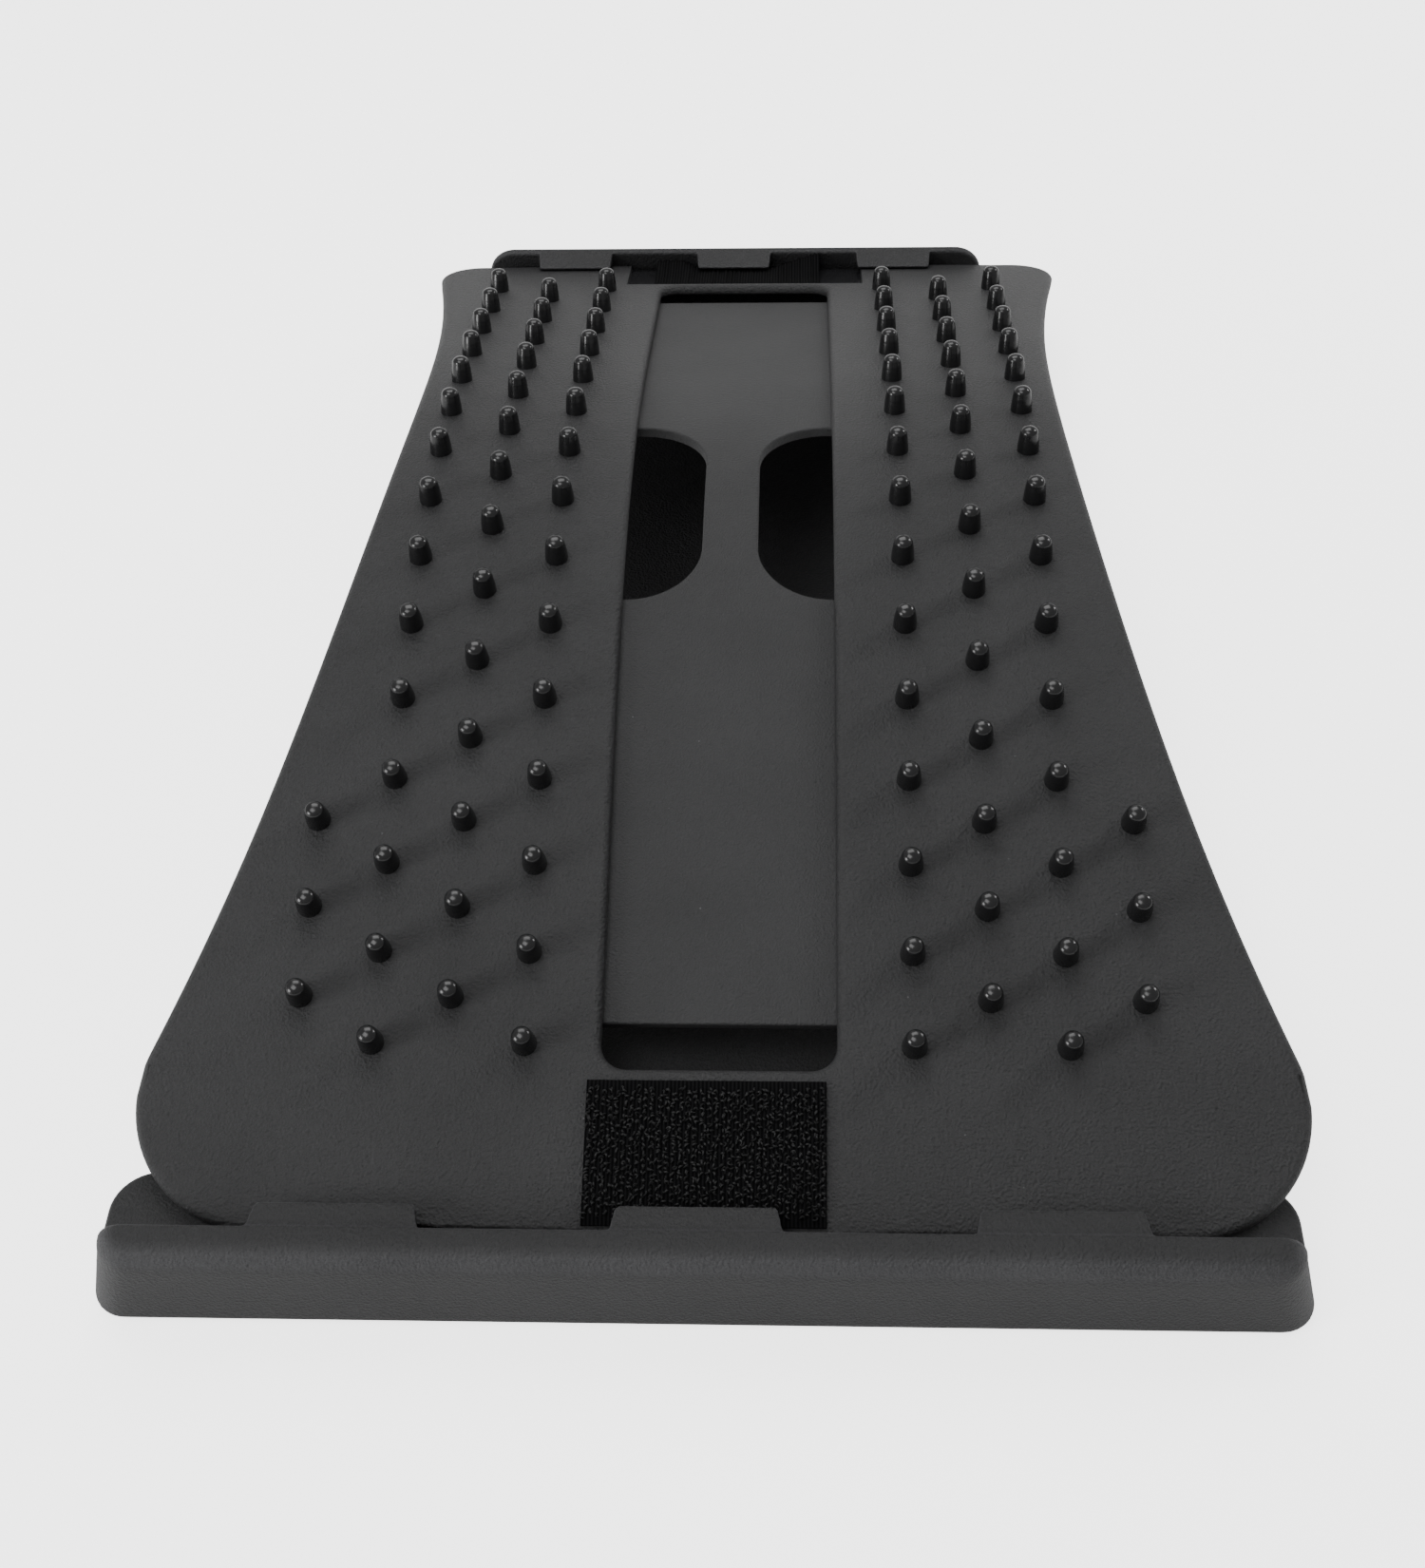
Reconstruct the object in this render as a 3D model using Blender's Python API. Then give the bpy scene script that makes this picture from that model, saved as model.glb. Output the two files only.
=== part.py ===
"""Arched back-stretching board with massage nubs, sprung into a base tray between two rows of hooks.

Frame: X across the board, Y from the near (wide) end to the far (narrow) end, +Z up. The origin is
on the surface that the object stands on, under the centre of its bounding box. Metres.

The board is one flexible moulding. It is built as a near and a far half that meet at a flex line
next to the crown, so that the arch can bend there while its far end rocks under the far hooks.
"""

import math

import bmesh
import bpy
import numpy as np
from mathutils import Matrix, Vector

MM = 0.001
GAP = 0.3 * MM  # air between pieces that touch

# Driving dimensions of the arch, measured along its top surface from the crown
CROWN = Vector((3.1 * MM, 8.85 * MM, 62 * MM))
END_SLOPE = math.radians(18.1)
BEND_REACH = 103.8 * MM  # the surface is straight beyond this
NEAR_END = -182.5 * MM
FAR_END = 173 * MM
BOARD_THICK = 2.8 * MM
FLEX_S = 7.15 * MM  # the flex line, between two rows of nubs

# Outline of the board: a waist that widens as a parabola, with round corners
WAIST_S = 56 * MM
WAIST_HALF = 83.5 * MM
FLARE = 0.935  # per metre
NEAR_CORNER = 28.5 * MM
FAR_CORNER = 12 * MM

# Spine slot, and the recess for the far hook-and-loop patch
SLOT_HALF = 24.9 * MM
SLOT_NEAR = -147.2 * MM
SLOT_FAR = 150 * MM
SLOT_CORNER = 5.5 * MM
RECESS_HALF = 35.5 * MM
RECESS_S = 152 * MM
RECESS_DEEP = 1.3 * MM

# Massage nubs, in staggered columns on each side of the slot
ROW_PITCH = 10.293 * MM
CROWN_ROW = 14
LAST_ROW = 28
ROW_SHIFT = 2 * MM  # the rows lie a little beyond the crown
COLUMN_X = 41.1 * MM
COLUMN_PITCH = 16.25 * MM
SIDE_ROWS = (1, 3, 5)  # rows of the short outermost column
NUB_RADIUS = 2.8 * MM
NUB_HEIGHT = 6.6 * MM

# Centre plate under the slot, with its two finger holes, held by moulded studs
PLATE_TOP = -BOARD_THICK - GAP
PLATE_THICK = 2.5 * MM
PLATE_HALF = 33 * MM
PLATE_NEAR = -136.5 * MM
PLATE_FAR = 142.8 * MM
HOLE_NEAR = -29 * MM
HOLE_FAR = 39.6 * MM
HOLE_INNER = 6.7 * MM
HOLE_OUTER = 25.6 * MM
HOLE_CORNER = 17.5 * MM
STUD_X = 29.3 * MM
STUD_S = (-125 * MM, -60 * MM, 62 * MM, 125 * MM)
STUD_RADIUS = 1.4 * MM
STUD_HEAD = 2.4 * MM

# Hook-and-loop patches, a little to one side of the board's centre line
PATCH_X = -2.4 * MM
PATCH_HALF = 25 * MM
NEAR_PATCH = (-180.6 * MM, -150 * MM)
FAR_PATCH = (152.6 * MM, 172.4 * MM)
PATCH_THICK = 1.5 * MM
FAR_PATCH_THICK = 1.15 * MM
TUCK_S = 165.2 * MM  # the far patch is pressed thinner from here, to pass under the hook
TUCK_DEEP = 0.3 * MM

# Base tray. The board lies a few millimetres to one side of its centre
BASE_X = -0.6 * MM
BASE_BOTTOM = 1 * MM
NEAR_FACE = -178.65 * MM
NEAR_WALL = -169.95 * MM
FAR_WALL = 176.15 * MM
FAR_FACE = 178.65 * MM
RAIL_HALF = 125.9 * MM
RAIL_TOP = 24 * MM
RAIL_DRAFT = 0.3 * MM
END_DRAFT = 4.4 * MM
RAIL_ROLL = 5.2 * MM
FAR_RAIL_HALF = 76.4 * MM
FAR_RAIL_TOP = 24.6 * MM
FAR_RAIL_CORNER = 8 * MM
DECK_HALF = 122.9 * MM
DECK_TOP = 14 * MM
DECK_END = -151 * MM
TRAY_HALF = 104 * MM
TRAY_END = -104 * MM
SPINE_HALF = 38 * MM
SPINE_TOP = 9 * MM
FAR_TRAY_HALF = 72 * MM
FAR_TRAY_START = 130 * MM
FAR_DECK_TOP = 15.8 * MM
NEAR_TABS = (73.4 * MM, 34.6 * MM)  # pitch and width
FAR_TABS = (49.1 * MM, 22.9 * MM)
TAB_LOW = 21 * MM
NEAR_TAB_TOP = 23.2 * MM
TAB_TAPER = 0.7 * MM  # on each side
NEAR_TAB_TIP = -164.6 * MM
FAR_TAB_TIP = 170.2 * MM
FAR_TAB_EDGE = 0.8 * MM  # thickness at the tip
GROOVE_Y = (-144 * MM, -126 * MM)  # walls of the two spare grooves
GROOVE_TOP = 20.2 * MM
GROOVE_INNER = 30 * MM  # the grooves leave the middle of the deck free, under the slot
GROOVE_OUTER = 100 * MM
FOOT_RADIUS = 6 * MM
FOOT_THICK = 2.6 * MM
FOOT_PLACES = ((-110, -163), (109, -163), (-63, 152), (62, 152))  # millimetres

GREY = (0.05, 0.05, 0.053)
DARK = (0.02, 0.02, 0.021)

# Places on the two joint axes, which run along X. They are the origins of the moving pieces
FAR_PIVOT = Vector((3.1 * MM, 170.6 * MM, 21.551 * MM))
FLEX_PIVOT = Vector((1.6 * MM, 13.849 * MM, 55.837 * MM))


def clear_scene():
    for item in list(bpy.data.objects):
        bpy.data.objects.remove(item, do_unlink=True)


def finish(name, mesh, colour, roughness, origin=(0, 0, 0)):
    """Link an object that carries the mesh, in its own material, with its origin at this point."""
    mesh.transform(Matrix.Translation(-Vector(origin)))
    item = bpy.data.objects.new(name, mesh)
    item.location = origin
    bpy.context.scene.collection.objects.link(item)
    material = bpy.data.materials.new(name)
    material.use_nodes = True
    shader = material.node_tree.nodes["Principled BSDF"]
    shader.inputs["Base Color"].default_value = (*colour, 1)
    shader.inputs["Roughness"].default_value = roughness
    shader.inputs["Metallic"].default_value = 0
    mesh.materials.append(material)
    mesh.shade_smooth()
    mesh.set_sharp_from_angle(angle=math.radians(35))
    return item


def cutter(name, mesh):
    """Link an object that only shapes others."""
    item = bpy.data.objects.new(name, mesh)
    bpy.context.scene.collection.objects.link(item)
    item.hide_render = True
    item.display_type = "WIRE"
    return item


def combine(item, other, operation):
    step = item.modifiers.new(other.name, "BOOLEAN")
    step.operation = operation
    step.solver = "EXACT"
    step.object = other


def joined_mesh(name, build):
    """A mesh from a function that fills a bmesh, with its faces pointing out."""
    work = bmesh.new()
    build(work)
    bmesh.ops.recalc_face_normals(work, faces=work.faces[:])
    mesh = bpy.data.meshes.new(name)
    work.to_mesh(mesh)
    work.free()
    return mesh


# The arch


def arch_curve():
    """Tables of distance, height, forward travel and slope along the top surface."""
    s = np.linspace(-0.25, 0.25, 4001)
    slope = -END_SLOPE * np.sin(0.5 * np.pi * np.clip(s / BEND_REACH, -1, 1))
    step = s[1] - s[0]
    y = np.cumsum(np.cos(slope)) * step
    z = np.cumsum(np.sin(slope)) * step
    return s, y - np.interp(0, s, y), z - np.interp(0, s, z), slope


ARCH = arch_curve()


def arch_slope(s):
    return float(np.interp(s, ARCH[0], ARCH[3]))


def on_arch(s, x, h):
    """The point at distance s from the crown, x across, and h above the board's top surface."""
    slope = arch_slope(s)
    y = float(np.interp(s, ARCH[0], ARCH[1])) - math.sin(slope) * h
    z = float(np.interp(s, ARCH[0], ARCH[2])) + math.cos(slope) * h
    return CROWN + Vector((x, y, z))


def flare(s):
    return WAIST_HALF + FLARE * (s - WAIST_S) ** 2


def corner_centre(end, radius):
    """Centre (s, x) and start of the round corner that runs from the flared side to an end."""
    inward = 1 if end < 0 else -1
    centre = end + inward * radius
    start = centre
    for _ in range(20):
        tilt = math.atan(abs(2 * FLARE * (start - WAIST_S)))
        start = centre + inward * radius * math.sin(tilt)
    return centre, flare(start) - radius * math.cos(tilt), start


def board_half_width(s):
    for end, radius in ((NEAR_END, NEAR_CORNER), (FAR_END, FAR_CORNER)):
        centre, side, start = corner_centre(end, radius)
        if (end < 0 and s < start) or (end > 0 and s > start):
            return side + math.sqrt(max(radius**2 - (s - centre) ** 2, 0))
    return flare(s)


def inset_half(s, start, stop, half, radius):
    """Half width of a round-cornered window at s."""
    depth = min(max(min(s - start, stop - s), 0), radius)
    return half - radius + math.sqrt(radius**2 - (radius - depth) ** 2)


def arc_rows(end, radius, inward, count):
    """Row positions that follow a round corner, from its end inwards."""
    turns = (0.5 * math.pi * i / count for i in range(count + 1))
    return [end + inward * radius * (1 - math.cos(turn)) for turn in turns]


def spread(start, stop, pitch):
    count = max(1, round((stop - start) / pitch))
    return [start + (stop - start) * i / count for i in range(count + 1)]


def sheet(work, rows, columns, keep, top, bottom):
    """A closed sheet that follows the arch, from the kept cells of a grid of rows and columns."""
    grid = [columns(s) for s in rows]
    cells = {
        (i, j)
        for i in range(len(rows) - 1)
        for j in range(len(grid[0]) - 1)
        if keep(0.5 * (rows[i] + rows[i + 1]), j)
    }
    points = {}

    def point(i, j, h):
        if (i, j, h) not in points:
            points[i, j, h] = work.verts.new(on_arch(rows[i], grid[i][j], h))
        return points[i, j, h]

    for i, j in cells:
        corners = ((i, j), (i, j + 1), (i + 1, j + 1), (i + 1, j))
        work.faces.new([point(a, b, top) for a, b in corners])
        work.faces.new([point(a, b, bottom) for a, b in reversed(corners)])
        beyond = ((i - 1, j), (i, j + 1), (i + 1, j), (i, j - 1))
        for side, neighbour in enumerate(beyond):
            if neighbour not in cells:
                a, b = corners[side], corners[(side + 1) % 4]
                work.faces.new([point(*b, top), point(*a, top), point(*a, bottom), point(*b, bottom)])


# Turned shapes that stand on the arch


def turned(work, s, x, profile, sides):
    """A turned solid on the arch's normal, from (radius, height) pairs, bottom to top."""
    frame = Matrix.Translation(on_arch(s, x, 0)) @ Matrix.Rotation(arch_slope(s), 4, "X")
    rings = []
    for radius, height in profile:
        ring = []
        for i in range(sides):
            turn = 2 * math.pi * i / sides
            local = Vector((radius * math.cos(turn), radius * math.sin(turn), height))
            ring.append(work.verts.new(frame @ local))
        rings.append(ring)
    work.faces.new(list(reversed(rings[0])))
    work.faces.new(rings[-1])
    for low, high in zip(rings, rings[1:]):
        for i in range(sides):
            k = (i + 1) % sides
            work.faces.new([low[i], low[k], high[k], high[i]])


def nub_places():
    """(s, x) of every nub: even rows in columns 0 and 2, odd rows in column 1 and a short column 3."""
    for row in range(LAST_ROW + 1):
        s = (row - CROWN_ROW) * ROW_PITCH + ROW_SHIFT
        columns = [0, 2] if row % 2 == 0 else [1]
        if row in SIDE_ROWS:
            columns.append(3)
        for column in columns:
            x = COLUMN_X + column * COLUMN_PITCH
            yield s, x
            yield s, -x


def rows_between(near, far, rows):
    """Sorted rows from near to far, without those that nearly coincide."""
    kept = [near]
    for s in sorted(rows):
        if s - kept[-1] > 0.25 * MM and near + MM < s < far - MM:
            kept.append(s)
    return kept + [far]


def board_rows():
    rows = arc_rows(NEAR_END, NEAR_CORNER, 1, 6) + arc_rows(FAR_END, FAR_CORNER, -1, 4)
    rows += arc_rows(SLOT_NEAR, SLOT_CORNER, 1, 3) + arc_rows(SLOT_FAR, SLOT_CORNER, -1, 3)
    return rows + spread(SLOT_NEAR + SLOT_CORNER, SLOT_FAR - SLOT_CORNER, 12 * MM)


def board_columns(s):
    half = board_half_width(s)
    slot = inset_half(s, SLOT_NEAR, SLOT_FAR, SLOT_HALF, SLOT_CORNER)
    return [-half, -slot, slot, half]


def board_keep(s, column):
    return column != 1 or not SLOT_NEAR < s < SLOT_FAR


def make_board(name, near, far, origin):
    """Half of the board with its nubs on top and the plate's studs below."""
    rows = rows_between(near, far, board_rows())
    mesh = joined_mesh(
        name, lambda work: sheet(work, rows, board_columns, board_keep, 0, -BOARD_THICK)
    )
    board = finish(name, mesh, GREY, 0.6, origin)

    def nubs(work):
        profile = (
            (NUB_RADIUS, -0.4 * BOARD_THICK),
            (NUB_RADIUS, 0.3 * MM),
            (0.75 * NUB_RADIUS, 0.8 * NUB_HEIGHT),
            (0.35 * NUB_RADIUS, NUB_HEIGHT),
        )
        for s, x in nub_places():
            if near < s < far:
                turned(work, s, x, profile, 8)

    def studs(work):
        head = PLATE_TOP - PLATE_THICK - GAP
        profile = (
            (STUD_HEAD, head - 0.9 * MM),
            (STUD_HEAD, head),
            (STUD_RADIUS, head + 0.01 * MM),
            (STUD_RADIUS, -0.5 * BOARD_THICK),
        )
        for s in STUD_S:
            if near < s < far:
                turned(work, s, STUD_X, profile, 10)
                turned(work, s, -STUD_X, profile, 10)

    combine(board, cutter(name + "_nubs", joined_mesh(name + "_nubs", nubs)), "UNION")
    combine(board, cutter(name + "_studs", joined_mesh(name + "_studs", studs)), "UNION")
    return board


def cut_down(item, name, start, half, floor):
    """Lower the top of a piece to a floor height, from a distance along the arch to its far end."""
    rows = [start, FAR_END + 4 * MM]
    mesh = joined_mesh(
        name,
        lambda work: sheet(work, rows, lambda s: [-half, half], lambda s, j: True, 3 * MM, floor),
    )
    combine(item, cutter(name, mesh), "DIFFERENCE")


# Centre plate


def plate_columns(s):
    reach = inset_half(s, HOLE_NEAR, HOLE_FAR, HOLE_OUTER - HOLE_INNER, HOLE_CORNER)
    inner = HOLE_OUTER - reach
    return [-PLATE_HALF, -HOLE_OUTER, -inner, inner, HOLE_OUTER, PLATE_HALF]


def plate_keep(s, column):
    return column not in (1, 3) or not HOLE_NEAR < s < HOLE_FAR


def plate_rows():
    rows = arc_rows(HOLE_NEAR, HOLE_CORNER, 1, 6) + arc_rows(HOLE_FAR, HOLE_CORNER, -1, 6)
    return rows + spread(PLATE_NEAR, HOLE_NEAR, 12 * MM) + spread(HOLE_FAR, PLATE_FAR, 12 * MM)


def make_plate(name, near, far, origin):
    rows = rows_between(near, far, plate_rows())
    mesh = joined_mesh(
        name,
        lambda work: sheet(work, rows, plate_columns, plate_keep, PLATE_TOP, PLATE_TOP - PLATE_THICK),
    )
    plate = finish(name, mesh, GREY, 0.7, origin)

    def holes(work):
        radius = STUD_RADIUS + GAP
        profile = ((radius, PLATE_TOP - PLATE_THICK - MM), (radius, PLATE_TOP + MM))
        for s in STUD_S:
            if near < s < far:
                turned(work, s, STUD_X, profile, 10)
                turned(work, s, -STUD_X, profile, 10)

    combine(plate, cutter(name + "_holes", joined_mesh(name + "_holes", holes)), "DIFFERENCE")


def make_patch(name, span, bottom, thick, origin):
    rows = spread(*span, 10 * MM)
    sides = [PATCH_X - PATCH_HALF, PATCH_X + PATCH_HALF]
    mesh = joined_mesh(
        name,
        lambda work: sheet(work, rows, lambda s: sides, lambda s, j: True, bottom + thick, bottom),
    )
    return finish(name, mesh, DARK, 0.95, origin)


# Base tray


def round_rectangle(half, front, back, radii, steps=5):
    """Outline with its own radius at the front and the back corners, centred on the base."""
    outline = []
    corners = ((half, back, 0), (-half, back, 1), (-half, front, 2), (half, front, 3))
    for x, y, quarter in corners:
        radius = radii[1] if quarter < 2 else radii[0]
        cx = x - math.copysign(radius, x)
        cy = y - radius if quarter < 2 else y + radius
        for i in range(steps + 1):
            turn = 0.5 * math.pi * (quarter + i / steps)
            outline.append((BASE_X + cx + radius * math.cos(turn), cy + radius * math.sin(turn)))
    return outline


def loft(work, rings):
    """A closed solid through outlines at rising heights."""
    loops = [[work.verts.new((x, y, z)) for x, y in outline] for outline, z in rings]
    work.faces.new(list(reversed(loops[0])))
    work.faces.new(loops[-1])
    for low, high in zip(loops, loops[1:]):
        for i in range(len(low)):
            k = (i + 1) % len(low)
            work.faces.new([low[i], low[k], high[k], high[i]])


def near_rail(work):
    """The upright rail with sloping ends and a rounded upper edge on its outer side and at its ends."""
    outline = round_rectangle(RAIL_HALF, NEAR_FACE, NEAR_WALL, (8 * MM, 0.6 * MM))
    rings = [(outline, BASE_BOTTOM)]
    for i in range(6):
        turn = 0.5 * math.pi * i / 5
        inset = RAIL_ROLL * (1 - math.cos(turn))
        half = RAIL_HALF - END_DRAFT - inset
        corner = (7 * MM - 0.9 * inset, 0.6 * MM)
        outline = round_rectangle(half, NEAR_FACE + RAIL_DRAFT + inset, NEAR_WALL, corner)
        rings.append((outline, RAIL_TOP - RAIL_ROLL * (1 - math.sin(turn))))
    loft(work, rings)


def far_rail(work):
    """The thin far rail, with its two upper corners rounded in elevation."""
    corner = (0.5 * MM, FAR_RAIL_CORNER)
    outline = round_rectangle(FAR_RAIL_HALF, BASE_BOTTOM, FAR_RAIL_TOP, corner)
    loft(work, [(outline, -FAR_FACE), (outline, -FAR_WALL)])
    bmesh.ops.transform(work, matrix=Matrix.Rotation(0.5 * math.pi, 4, "X"), verts=work.verts[:])


def block(work, half, front, back, bottom, top, x=0):
    centre = Vector((BASE_X + x, 0.5 * (front + back), 0.5 * (bottom + top)))
    size = Vector((2 * half, back - front, top - bottom))
    bmesh.ops.create_cube(work, size=1, matrix=Matrix.LocRotScale(centre, None, size))


def prism(work, half, front, back, corner, bottom, top):
    outline = round_rectangle(half, front, back, corner)
    loft(work, [(outline, bottom), (outline, top)])


def tab(work, x, width, root, tip, low_root, low_tip, top_root, top_tip):
    """A tapered finger that reaches over the board's end, with its underside along the board."""
    points = []
    for side in (-1, 1):
        for y, z in ((root, low_root), (tip, low_tip), (tip, top_tip), (root, top_root)):
            reach = 0.5 * width - (TAB_TAPER if y == tip else 0)
            points.append(work.verts.new((BASE_X + x + side * reach, y, z)))
    left, right = points[:4], points[4:]
    work.faces.new(left)
    work.faces.new(list(reversed(right)))
    for i in range(4):
        k = (i + 1) % 4
        work.faces.new([left[k], left[i], right[i], right[k]])


def pockets(work, half, front, back, across, along, top, web=2.4 * MM):
    """A grid of hollows that open downwards, with ribs between them."""
    wide = 2 * half / across
    deep = (back - front) / along
    for i in range(across):
        for k in range(along):
            x = -half + (i + 0.5) * wide
            y = front + k * deep
            block(work, 0.5 * (wide - web), y, y + deep - web, -MM, top, x)


def make_base():
    base = finish("base_tray", joined_mesh("base_tray", near_rail), GREY, 0.6)

    def near_deck(work):
        prism(work, DECK_HALF, NEAR_WALL - 3 * MM, DECK_END, (MM, 9.5 * MM), BASE_BOTTOM, DECK_TOP)

    def near_tray(work):
        prism(work, TRAY_HALF, DECK_END - 9 * MM, TRAY_END, (MM, 12 * MM), BASE_BOTTOM, DECK_TOP)

    def spine(work):
        block(work, SPINE_HALF, TRAY_END - 5 * MM, FAR_TRAY_START + 5 * MM, BASE_BOTTOM, SPINE_TOP)

    def far_tray(work):
        back = FAR_WALL + MM
        prism(work, FAR_TRAY_HALF, FAR_TRAY_START, back, (12 * MM, MM), BASE_BOTTOM, FAR_DECK_TOP)

    def fingers(work):
        slope = math.tan(END_SLOPE)
        for i in (-1, 0, 1):
            pitch, width = NEAR_TABS
            root = NEAR_WALL - 3 * MM
            low, top = TAB_LOW, NEAR_TAB_TOP
            tab(work, i * pitch, width, root, NEAR_TAB_TIP, low, low, top, top)
            pitch, width = FAR_TABS
            tip = on_arch(FAR_END, 0, 0).z + slope * (on_arch(FAR_END, 0, 0).y - FAR_TAB_TIP)
            low_tip = tip + 1.2 * GAP
            low_root = low_tip - slope * (FAR_WALL - FAR_TAB_TIP)
            root = FAR_WALL + 0.8 * MM
            top, top_tip = FAR_RAIL_TOP - 0.02 * MM, low_tip + FAR_TAB_EDGE
            tab(work, i * pitch, width, root, FAR_TAB_TIP, low_root, low_tip, top, top_tip)

    def grooves(work):
        middle = 0.5 * (GROOVE_INNER + GROOVE_OUTER)
        for y in GROOVE_Y:
            for x in (-middle, middle):
                block(work, middle - GROOVE_INNER, y, y + 3 * MM, DECK_TOP - 2 * MM, GROOVE_TOP, x)

    def groove_lips(work):
        pitch, width = NEAR_TABS
        low = GROOVE_TOP - 1.5 * MM
        top = GROOVE_TOP - 0.02 * MM
        for y in GROOVE_Y:
            for x in (-0.85 * pitch, 0.85 * pitch):
                tab(work, x, width, y + 2 * MM, y + 6.5 * MM, low, low, top, top)

    def hollows(work):
        pockets(work, 98 * MM, -174.5 * MM, -157 * MM, 6, 1, DECK_TOP - 2.5 * MM)
        pockets(work, 98 * MM, -150 * MM, -104.5 * MM, 6, 2, DECK_TOP - 2.5 * MM)
        pockets(work, 35 * MM, -98 * MM, 126 * MM, 2, 7, SPINE_TOP - 2.5 * MM)
        pockets(work, 52 * MM, 136 * MM, 176 * MM, 4, 2, FAR_DECK_TOP - 2.5 * MM)

    def foot_pockets(work):
        for x, y in FOOT_PLACES:
            place = Matrix.Translation((x * MM, y * MM, BASE_BOTTOM))
            depth = 2 * (FOOT_THICK - BASE_BOTTOM + GAP)
            bmesh.ops.create_cone(
                work,
                cap_ends=True,
                segments=24,
                radius1=FOOT_RADIUS + GAP,
                radius2=FOOT_RADIUS + GAP,
                depth=depth,
                matrix=place,
            )

    for shape in (far_rail, near_deck, near_tray, spine, far_tray, fingers, grooves, groove_lips):
        combine(base, cutter(shape.__name__, joined_mesh(shape.__name__, shape)), "UNION")
    for shape in (hollows, foot_pockets):
        combine(base, cutter(shape.__name__, joined_mesh(shape.__name__, shape)), "DIFFERENCE")


def make_feet():
    for number, (x, y) in enumerate(FOOT_PLACES, 1):

        def pad(work):
            place = Matrix.Translation((x * MM, y * MM, 0.5 * FOOT_THICK))
            bmesh.ops.create_cone(
                work,
                cap_ends=True,
                segments=24,
                radius1=FOOT_RADIUS,
                radius2=FOOT_RADIUS,
                depth=FOOT_THICK,
                matrix=place,
            )

        finish(f"rubber_foot_{number}", joined_mesh(f"rubber_foot_{number}", pad), DARK, 0.9)


def main():
    clear_scene()
    near_start = FLEX_S - 0.5 * GAP
    far_start = FLEX_S + 0.5 * GAP
    make_board("arch_board_near", NEAR_END, near_start, FLEX_PIVOT)
    far_board = make_board("arch_board_far", far_start, FAR_END, FAR_PIVOT)
    cut_down(far_board, "patch_bed", RECESS_S, RECESS_HALF, -RECESS_DEEP)
    make_plate("centre_plate_near", PLATE_NEAR, near_start, FLEX_PIVOT)
    make_plate("centre_plate_far", far_start, PLATE_FAR, FAR_PIVOT)
    make_patch("hook_patch_near", NEAR_PATCH, GAP, PATCH_THICK, FLEX_PIVOT)
    bed = GAP - RECESS_DEEP
    far_patch = make_patch("hook_patch_far", FAR_PATCH, bed, FAR_PATCH_THICK, FAR_PIVOT)
    cut_down(far_patch, "tuck", TUCK_S, RECESS_HALF, bed + FAR_PATCH_THICK - TUCK_DEEP)
    make_base()
    make_feet()


main()
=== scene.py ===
import math
import random

import bmesh
import bpy
import numpy as np
from mathutils import Matrix, Vector


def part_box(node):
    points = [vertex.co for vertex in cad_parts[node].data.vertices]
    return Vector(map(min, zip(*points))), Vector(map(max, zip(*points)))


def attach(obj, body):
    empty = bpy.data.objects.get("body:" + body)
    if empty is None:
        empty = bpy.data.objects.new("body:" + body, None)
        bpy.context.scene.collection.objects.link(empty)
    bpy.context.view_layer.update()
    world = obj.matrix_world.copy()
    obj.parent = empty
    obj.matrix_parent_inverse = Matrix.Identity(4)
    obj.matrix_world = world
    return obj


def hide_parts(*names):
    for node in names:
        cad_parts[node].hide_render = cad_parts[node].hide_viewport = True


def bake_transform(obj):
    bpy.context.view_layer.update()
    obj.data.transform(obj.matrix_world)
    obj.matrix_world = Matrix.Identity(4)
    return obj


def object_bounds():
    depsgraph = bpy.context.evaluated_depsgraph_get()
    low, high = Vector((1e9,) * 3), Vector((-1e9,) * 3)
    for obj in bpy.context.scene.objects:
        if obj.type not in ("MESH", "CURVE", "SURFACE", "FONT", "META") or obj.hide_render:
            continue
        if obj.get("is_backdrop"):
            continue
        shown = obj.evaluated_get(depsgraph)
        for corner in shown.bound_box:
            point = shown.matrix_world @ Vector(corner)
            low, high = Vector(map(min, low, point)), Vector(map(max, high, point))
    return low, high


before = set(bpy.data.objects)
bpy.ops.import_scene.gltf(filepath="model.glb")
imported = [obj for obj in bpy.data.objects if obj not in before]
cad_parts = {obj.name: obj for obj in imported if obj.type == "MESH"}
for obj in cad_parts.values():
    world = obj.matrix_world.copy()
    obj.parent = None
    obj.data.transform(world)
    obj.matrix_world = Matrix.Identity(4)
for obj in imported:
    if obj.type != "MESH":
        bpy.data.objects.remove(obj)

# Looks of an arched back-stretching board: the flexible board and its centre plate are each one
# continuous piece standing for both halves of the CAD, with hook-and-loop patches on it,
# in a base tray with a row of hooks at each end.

MM = 0.001
cad_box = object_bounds()

# The CAD's driving dimensions that the looks are built on
END_SLOPE = math.radians(18.1)
BEND_REACH = 103.8 * MM
NEAR_END = -182.5 * MM
FAR_END = 173 * MM
BOARD_THICK = 2.8 * MM
FLEX_S = 7.15 * MM
WAIST_S = 56 * MM
WAIST_HALF = 83.5 * MM
FLARE = 0.935
NEAR_CORNER = 28.5 * MM
FAR_CORNER = 12 * MM
SLOT_HALF = 24.9 * MM
SLOT_NEAR = -147.2 * MM
SLOT_FAR = 150 * MM
SLOT_CORNER = 5.5 * MM
RECESS_HALF = 35.5 * MM
RECESS_S = 152 * MM
RECESS_DEEP = 1.3 * MM
RECESS_RAMP = 1.6 * MM  # the bed's floor falls over this length
ROW_PITCH = 10.293 * MM
CROWN_ROW = 14
LAST_ROW = 28
ROW_SHIFT = 2 * MM  # the rows lie a little beyond the crown
COLUMN_X = 41.1 * MM
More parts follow.
